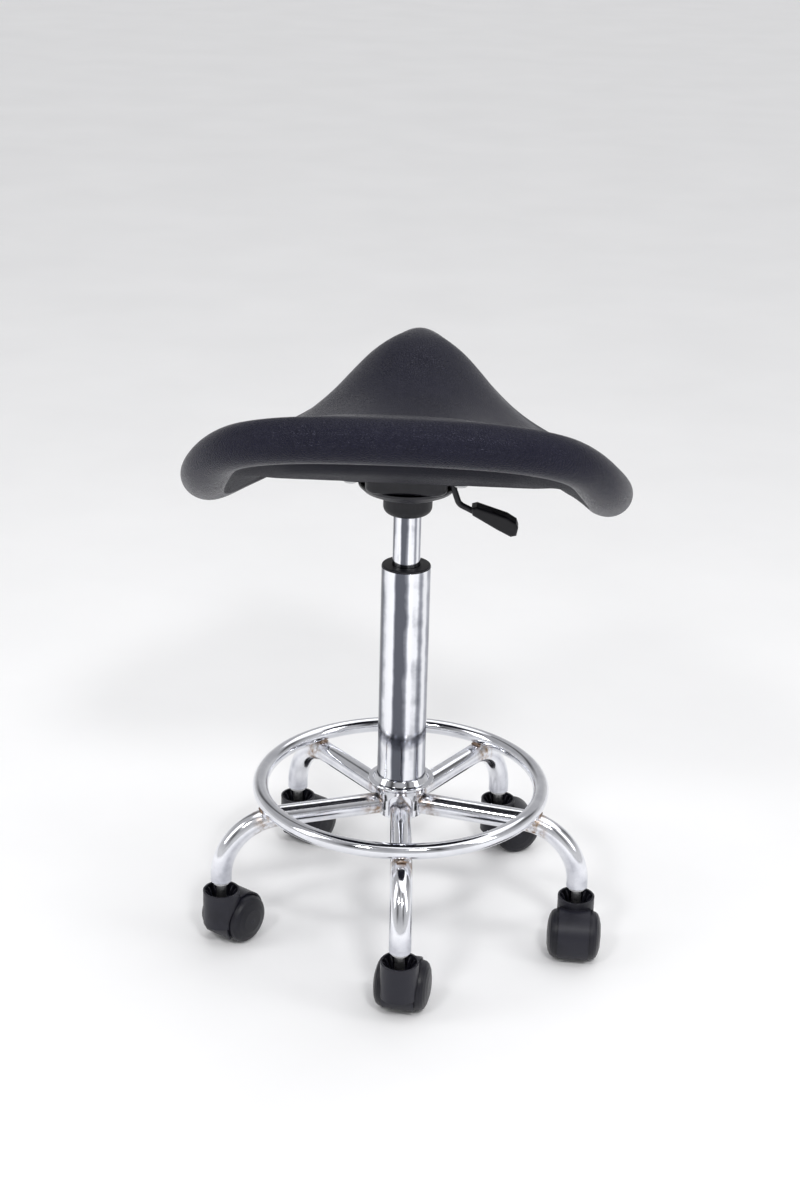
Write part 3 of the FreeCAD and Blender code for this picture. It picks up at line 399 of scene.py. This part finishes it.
# Heights of the sitting surface at places across and along it.
TOP_PLACES = [
    (0, -155, 602), (0, -120, 590), (0, -75, 577), (0, -10, 568), (0, 55, 577), (0, 100, 597), (0, 138, 606),
    (25, 138, 600.5), (50, 138, 582), (72, 136, 558), (98, 128, 531),
    (50, -10, 561), (100, -10, 541), (150, -10, 520.5),
    (50, 55, 565), (100, 55, 536), (150, 55, 508.5),
    (50, 103, 579), (100, 103, 536), (138, 100, 508),
    (60, -75, 571), (120, -75, 553), (60, -120, 587), (120, -120, 569), (60, -155, 600), (115, -152, 588),
]

# Height of the underside along the middle of the saddle.
UNDER_PLACES = [
    (-190, 566), (-155, 549), (-120, 531), (-78, 512), (-68, 510),
    (90, 510), (105, 514), (138, 530), (175, 556),
]
SHELL = 27.0  # least thickness of the saddle, away from its lip
SHELL_ROUND = 10.0  # height over which the underside's two surfaces run into each other
LIP_SHELL = 16.0  # least thickness just inside the lip
LIP_RISE = 4.0  # how far the skin steps up just inside the lip
LIP_INSET = 0.05  # share of the way from the lip to the heart that this step takes
LIP_BLEND = 0.22  # share of that way over which the lip runs into the underside
PLATE_EASE = 12.0  # smoothing of the top; at 0 it would pass through every given height

HEART = (0.0, -12.0)  # the place that the rings of points close in on
AROUND = 144  # points in a ring
# Rings of the top, as shares of the way from the heart to the roll's axis.
TOP_STEPS = np.linspace(0.05, 0.96, 22)
# Rings of the roll, in degrees above the horizontal, seen from its axis.
ROLL_TURNS = range(88, -112, -13)
# Rings of the lip: how far inward and up from the roll's axis, in roll radii.
LIP_STEPS = ((0.60, -0.84), (0.74, -0.70), (0.84, -0.50))
# Rings of the underside, as shares of the way from the heart to the lip.
UNDER_STEPS = np.linspace(0.95, 0.05, 20)


def smooth_values(places, values, wanted):
    """Values on a natural cubic curve through the given ones."""
    count = len(places)
    steps = np.diff(places)
    matrix = np.eye(count)
    right = np.zeros(count)
    for i in range(1, count - 1):
        matrix[i, i - 1:i + 2] = (steps[i - 1], 2 * (steps[i - 1] + steps[i]), steps[i])
        right[i] = 6 * ((values[i + 1] - values[i]) / steps[i] - (values[i] - values[i - 1]) / steps[i - 1])
    bend = np.linalg.solve(matrix, right)
    index = np.clip(np.searchsorted(places, wanted) - 1, 0, count - 2)
    step = steps[index]
    before = (places[index + 1] - wanted) / step
    after = (wanted - places[index]) / step
    return (before * values[index] + after * values[index + 1]
            + ((before ** 3 - before) * bend[index] + (after ** 3 - after) * bend[index + 1]) * step ** 2 / 6)


def rim_loop():
    """The whole roll axis as evenly spaced points (across, along, height, radius) and outward directions."""
    half = np.array(RIM, float)
    mirrored = half[-2:0:-1] * (-1, 1, 1, 1)
    loop = np.vstack([half, mirrored])
    wide = np.vstack([loop[-4:], loop, loop[:5]])
    length = np.concatenate([[0], np.cumsum(np.linalg.norm(np.diff(wide[:, :3], axis=0), axis=1))])
    first, last = length[4], length[4 + len(loop)]
    wanted = np.linspace(first, last, AROUND, endpoint=False)
    points = np.stack([smooth_values(length, wide[:, k], wanted) for k in range(4)], axis=1)
    ahead = np.roll(points, -1, 0)[:, :2] - np.roll(points, 1, 0)[:, :2]
    outward = np.stack([ahead[:, 1], -ahead[:, 0]], axis=1)
    outward /= np.linalg.norm(outward, axis=1, keepdims=True)
    return points, outward


def plate_weights(known):
    """Weights of a thin plate bent through known points."""
    count = len(known)
    gap = np.linalg.norm(known[:, None, :2] - known[None, :, :2], axis=2)
    kernel = gap ** 2 * np.log(gap + 1e-9)
    plane = np.column_stack([np.ones(count), known[:, :2]])
    system = np.block([[kernel + PLATE_EASE * np.eye(count), plane], [plane.T, np.zeros((3, 3))]])
    return np.linalg.solve(system, np.concatenate([known[:, 2], np.zeros(3)]))


def plate_height(known, weights, places):
    """Heights of the bent plate at other places."""
    gap = np.linalg.norm(places[:, None, :] - known[None, :, :2], axis=2)
    kernel = gap ** 2 * np.log(gap + 1e-9)
    return kernel @ weights[:-3] + weights[-3] + places @ weights[-2:]


def soft_min(first, second, width):
    """The lower of two heights, rounded where they cross."""
    mix = np.clip(0.5 + 0.5 * (second - first) / width, 0, 1)
    return second + (first - second) * mix - width * mix * (1 - mix)


def saddle_rings():
    """Rings of points from the heart of the top, over the roll and its lip, to the heart of the underside."""
    rim, outward = rim_loop()
    heart = np.array(HEART)
    sided = [(side * x, y, z) for x, y, z in TOP_PLACES for side in ((1, -1) if x else (1,))]
    tops = [(x, y, z + r) for x, y, z, r in rim[::4]]
    known = np.array(sided + tops)
    weights = plate_weights(known)
    rings = []
    for step in TOP_STEPS:
        places = heart + (rim[:, :2] - heart) * step
        rings.append(np.column_stack([places, plate_height(known, weights, places)]))
    for angle in ROLL_TURNS:
        turn = math.radians(angle)
        places = rim[:, :2] + outward * rim[:, 3:4] * math.cos(turn)
        rings.append(np.column_stack([places, rim[:, 2] + rim[:, 3] * math.sin(turn)]))
    for inward, rise in LIP_STEPS:
        places = rim[:, :2] - outward * rim[:, 3:4] * inward
        rings.append(np.column_stack([places, rim[:, 2] + rim[:, 3] * rise]))
    edge = rings[-1]
    for step in UNDER_STEPS:
        places = heart + (edge[:, :2] - heart) * step
        deep = np.interp(places[:, 1], *np.array(UNDER_PLACES, float).T)
        top = plate_height(known, weights, places)
        height = soft_min(deep, top - SHELL, SHELL_ROUND)
        share = np.clip((1 - step) / LIP_BLEND, 0, 1)
        share = share * share * (3 - 2 * share)
        start = np.minimum(edge[:, 2] + LIP_RISE * min(1.0, (1 - step) / LIP_INSET), top - LIP_SHELL)
        rings.append(np.column_stack([places, start + (height - start) * share]))
    return np.array(rings) * MM


def build_saddle():
    """The saddle as one smooth skin with a round roll all the way round its rim."""
    rings = saddle_rings()
    top_rings = len(TOP_STEPS) + len(ROLL_TURNS) + 1

    def build(target):
        verts = [[target.verts.new(tuple(point)) for point in ring] for ring in rings]
        for row, (ring, inner) in enumerate(zip(verts, verts[1:])):
            for k in range(AROUND):
                following = (k + 1) % AROUND
                face = target.faces.new((ring[k], ring[following], inner[following], inner[k]))
                face.material_index = 1 if row >= top_rings else 0
        for ring, index in ((verts[0], 0), (verts[-1], 1)):
            middle = target.verts.new(tuple(np.mean([tuple(v.co) for v in ring], axis=0)))
            for k in range(AROUND):
                face = target.faces.new((ring[k], ring[(k + 1) % AROUND], middle))
                face.material_index = index

    saddle = mesh_object("saddle_skin", build)
    saddle.data.materials.append(MATERIALS["seat_foam"])
    saddle.data.materials.append(UNDER_SKIN)
    modifier = saddle.modifiers.new("smooth", "SUBSURF")
    modifier.levels = 1
    modifier.render_levels = 1
    apply_modifiers(saddle)
    saddle.data.polygons.foreach_set("use_smooth", [True] * len(saddle.data.polygons))
    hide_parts("seat_cushion")
    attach(saddle, "seat")


# ---------------------------------------------------------------- welds

BEAD_RADIUS = 1.5 * MM
BEAD_HALF = 5.5 * MM  # half a bead's length
BEAD_STEPS = 8  # steps in that half
BEAD_SIDES = 10
BEAD_TAPER = 0.35  # the smaller, the blunter a bead's ends
RIPPLE = 0.14  # height of a ripple, as a share of the bead's radius
RIPPLE_TURN = 2.4  # radians of the ripple from one point to the next
BEAD_DEPTH = 0.93 * RING_TUBE  # how far below the ring's axis the beads lie, before their own lowering
# Each bead's distance outwards from the ring's axis, and its lowering towards the falling leg.
BEAD_PLACES = {"inner": (-4.2 * MM, 0.2 * MM), "outer": (4.6 * MM, 1.2 * MM)}


def bead(name, points, radius):
    """A rippled weld bead along a list of points."""
    turns = [2 * math.pi * k / BEAD_SIDES for k in range(BEAD_SIDES)]

    def build(target):
        rings = []
        for index, point in enumerate(points):
            ahead = points[min(index + 1, len(points) - 1)] - points[max(index - 1, 0)]
            across = ahead.orthogonal().normalized()
            lift = ahead.cross(across).normalized()
            taper = math.sin(math.pi * (index + 0.5) / len(points)) ** BEAD_TAPER
            size = radius * taper * (1 + RIPPLE * math.sin(index * RIPPLE_TURN))
            rings.append([
                target.verts.new(point + across * size * math.cos(turn) + lift * size * math.sin(turn))
                for turn in turns
            ])
        for first, second in zip(rings, rings[1:]):
            for k in range(BEAD_SIDES):
                following = (k + 1) % BEAD_SIDES
                target.faces.new((first[k], first[following], second[following], second[k]))
        target.faces.new(rings[0])
        target.faces.new(rings[-1])

    item = mesh_object(name, build)
    item.data.materials.append(WELD)
    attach(item, "base")


def build_ring_welds():
    """Two beads at each leg, one on each side of the foot ring where it crosses the leg."""
    ring_low, ring_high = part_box("foot_ring")
    ring_middle = (ring_low[2] + ring_high[2]) / 2
    for leg in range(LEG_COUNT):
        angle = math.radians(LEG_TURN + LEG_PITCH * leg)
        out = Vector((math.cos(angle), math.sin(angle), 0))
        side = Vector((-math.sin(angle), math.cos(angle), 0))
        for place, (offset, low) in BEAD_PLACES.items():
            points = []
            for index in range(2 * BEAD_STEPS + 1):
                across = (index - BEAD_STEPS) / BEAD_STEPS * BEAD_HALF
                drop = across * across / (2 * LEG_TUBE)
                swing = RING_REACH + offset - (RING_REACH - math.sqrt(RING_REACH ** 2 - across ** 2))
                height = ring_middle - BEAD_DEPTH - drop - low
                points.append(out * swing + side * across + Vector((0, 0, height)))
            bead(f"ring_weld_{place}_{leg + 1}", points, BEAD_RADIUS)


# ---------------------------------------------------------------- caster cups

CUP_FINS = 14
FIN_HALF = 0.6 * MM  # half a fin's thickness
# A fin's outline in millimetres: distance from the stem's axis and height.
FIN_OUTLINE = ((16.9, 47.2), (16.9, 58.6), (15.2, 58.0), (12.4, 54.0), (11.4, 47.2))


def build_cup_fins():
    """Fins inside each caster's open cup, between the stem and the wall."""
    for leg in range(LEG_COUNT):
        angle = math.radians(LEG_TURN + LEG_PITCH * leg)
        centre = Vector((STEM_REACH * math.cos(angle), STEM_REACH * math.sin(angle), 0))

        def build(target, centre=centre):
            for fin in range(CUP_FINS):
                turn = 2 * math.pi * fin / CUP_FINS
                out = Vector((math.cos(turn), math.sin(turn), 0))
                side = Vector((-math.sin(turn), math.cos(turn), 0)) * FIN_HALF
                left, right = [[target.verts.new(centre + out * r * MM + side * edge + Vector((0, 0, z * MM)))
                                for r, z in FIN_OUTLINE] for edge in (-1, 1)]
                target.faces.new(left)
                target.faces.new(right[::-1])
                for k in range(len(FIN_OUTLINE)):
                    following = (k + 1) % len(FIN_OUTLINE)
                    target.faces.new((left[k], left[following], right[following], right[k]))

        fins = mesh_object(f"cup_fins_{leg + 1}", build, smooth=False)
        fins.data.materials.append(MATERIALS["black_nylon"])
        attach(fins, f"caster_{leg + 1}")


# ---------------------------------------------------------------- studio


def area_light(name, place, aim, size, power):
    """A soft box that faces a point."""
    data = bpy.data.lights.new(name, "AREA")
    data.shape = "RECTANGLE"
    data.size, data.size_y = size
    data.energy = power
    item = bpy.data.objects.new(name, data)
    item.location = place
    item.rotation_euler = (Vector(aim) - Vector(place)).to_track_quat("-Z", "Y").to_euler()
    bpy.context.scene.collection.objects.link(item)


FLOOR_HALF = 40.0
FLOOR_DROP = 0.6 * MM  # how far the floor lies under the wheels
# Brightness of the upper surround by direction, in turns: pale, with narrow dark bands.
BANDS = [
    (0.0, 0.44), (0.10, 0.5), (0.155, 0.04), (0.20, 0.44), (0.30, 0.5), (0.345, 0.05), (0.375, 0.5),
    (0.52, 0.46), (0.60, 0.07), (0.63, 0.5), (0.80, 0.5), (0.86, 0.06), (0.89, 0.46), (1.0, 0.44),
]


def build_floor():
    """A wide pale floor."""
    def build(target):
        places = ((-1, -1), (1, -1), (1, 1), (-1, 1))
        corners = [target.verts.new((x * FLOOR_HALF, y * FLOOR_HALF, -FLOOR_DROP)) for x, y in places]
        target.faces.new(corners)

    floor = mesh_object("studio_floor", build, smooth=False)
    material, tree, shader = new_material("pale_floor")
    cloud = noise(tree, coordinates(tree), 3.0)
    tree.links.new(ramp(tree, cloud, [(0.3, (0.90, 0.90, 0.905)), (0.7, (0.93, 0.93, 0.935))]),
                   shader.inputs["Base Color"])
    tree.links.new(span(tree, cloud, 0.3, 0.7, 0.6, 0.7), shader.inputs["Roughness"])
    floor.data.materials.append(material)


def build_surround():
    """A surround that is plain near the horizon, with dark bands above for the chrome to reflect."""
    world = bpy.data.worlds.new("studio")
    bpy.context.scene.world = world
    world.use_nodes = True
    tree = world.node_tree
    nodes, links = tree.nodes, tree.links
    source = nodes.new("ShaderNodeTexCoord")
    split = nodes.new("ShaderNodeSeparateXYZ")
    links.new(source.outputs["Generated"], split.inputs["Vector"])
    angle = combine(tree, "ARCTAN2", split.outputs["Y"], split.outputs["X"])
    turns = nodes.new("ShaderNodeMath")
    turns.operation = "MULTIPLY_ADD"
    turns.inputs[1].default_value = 1 / (2 * math.pi)
    turns.inputs[2].default_value = 0.5
    links.new(angle, turns.inputs[0])
    stops = [(turn, (value, value, value * 1.02)) for turn, value in BANDS]
    bands = ramp(tree, turns.outputs["Value"], stops)
    blend = colour_mix(tree, span(tree, split.outputs["Z"], 0.10, 0.42, 0.0, 1.0))
    blend.inputs[MIX_FIRST].default_value = (0.70, 0.70, 0.705, 1)
    links.new(bands, blend.inputs[MIX_SECOND])
    background = nodes["Background"]
    background.inputs["Strength"].default_value = 0.95
    links.new(blend.outputs[MIX_RESULT], background.inputs["Color"])


def build_lights():
    """A broad soft sky, a soft box on each side, and two behind for the sheen on the saddle's rim."""
    sky = bpy.data.lights.new("soft_sky", "SUN")
    sky.energy = 1.15
    sky.angle = math.radians(70)
    sky_item = bpy.data.objects.new("soft_sky", sky)
    sky_item.rotation_euler = (math.radians(-12), math.radians(10), 0)
    bpy.context.scene.collection.objects.link(sky_item)
    area_light("left_box", (-1.9, -0.6, 1.5), (0, 0, 0.5), (0.7, 1.5), 9)
    area_light("right_box", (2.0, -0.7, 1.5), (0, 0, 0.5), (0.6, 1.5), 9)
    area_light("rim_box", (0.75, -2.1, 2.4), (0, -0.1, 0.5), (0.45, 0.35), 27)
    area_light("rim_box_left", (-1.0, -1.9, 2.3), (0, -0.1, 0.5), (0.4, 0.35), 15)


# ---------------------------------------------------------------- camera

LENS = 60.45
SENSOR = 36.0
VIEW_SHIFT = -0.0045
VIEW_TURN = math.radians(3.0)
VIEW_PITCH = math.radians(21.61)
VIEW_ROLL = math.radians(1.453)
VIEW_DISTANCE = 2.0344
VIEW_AIM = Vector((0, 0, 0.363))


def build_camera():
    """The camera, behind the stool and above it, leaning a little."""
    data = bpy.data.cameras.new("camera")
    data.lens = LENS
    data.sensor_width = SENSOR
    data.sensor_fit = "AUTO"
    data.shift_x = VIEW_SHIFT
    data.clip_end = 200
    item = bpy.data.objects.new("camera", data)
    bpy.context.scene.collection.objects.link(item)
    back = Vector((math.sin(VIEW_TURN), -math.cos(VIEW_TURN), 0)) * math.cos(VIEW_PITCH)
    back += Vector((0, 0, math.sin(VIEW_PITCH)))
    place = VIEW_AIM + back * VIEW_DISTANCE
    turn = (VIEW_AIM - place).to_track_quat("-Z", "Y").to_matrix().to_4x4()
    item.matrix_world = Matrix.Translation(place) @ turn @ Matrix.Rotation(VIEW_ROLL, 4, "Z")
    bpy.context.scene.camera = item


build_camera()
dress_cad_nodes()
build_saddle()
build_ring_welds()
build_cup_fins()
build_floor()
build_surround()
build_lights()
bpy.context.scene.view_settings.view_transform = "Standard"
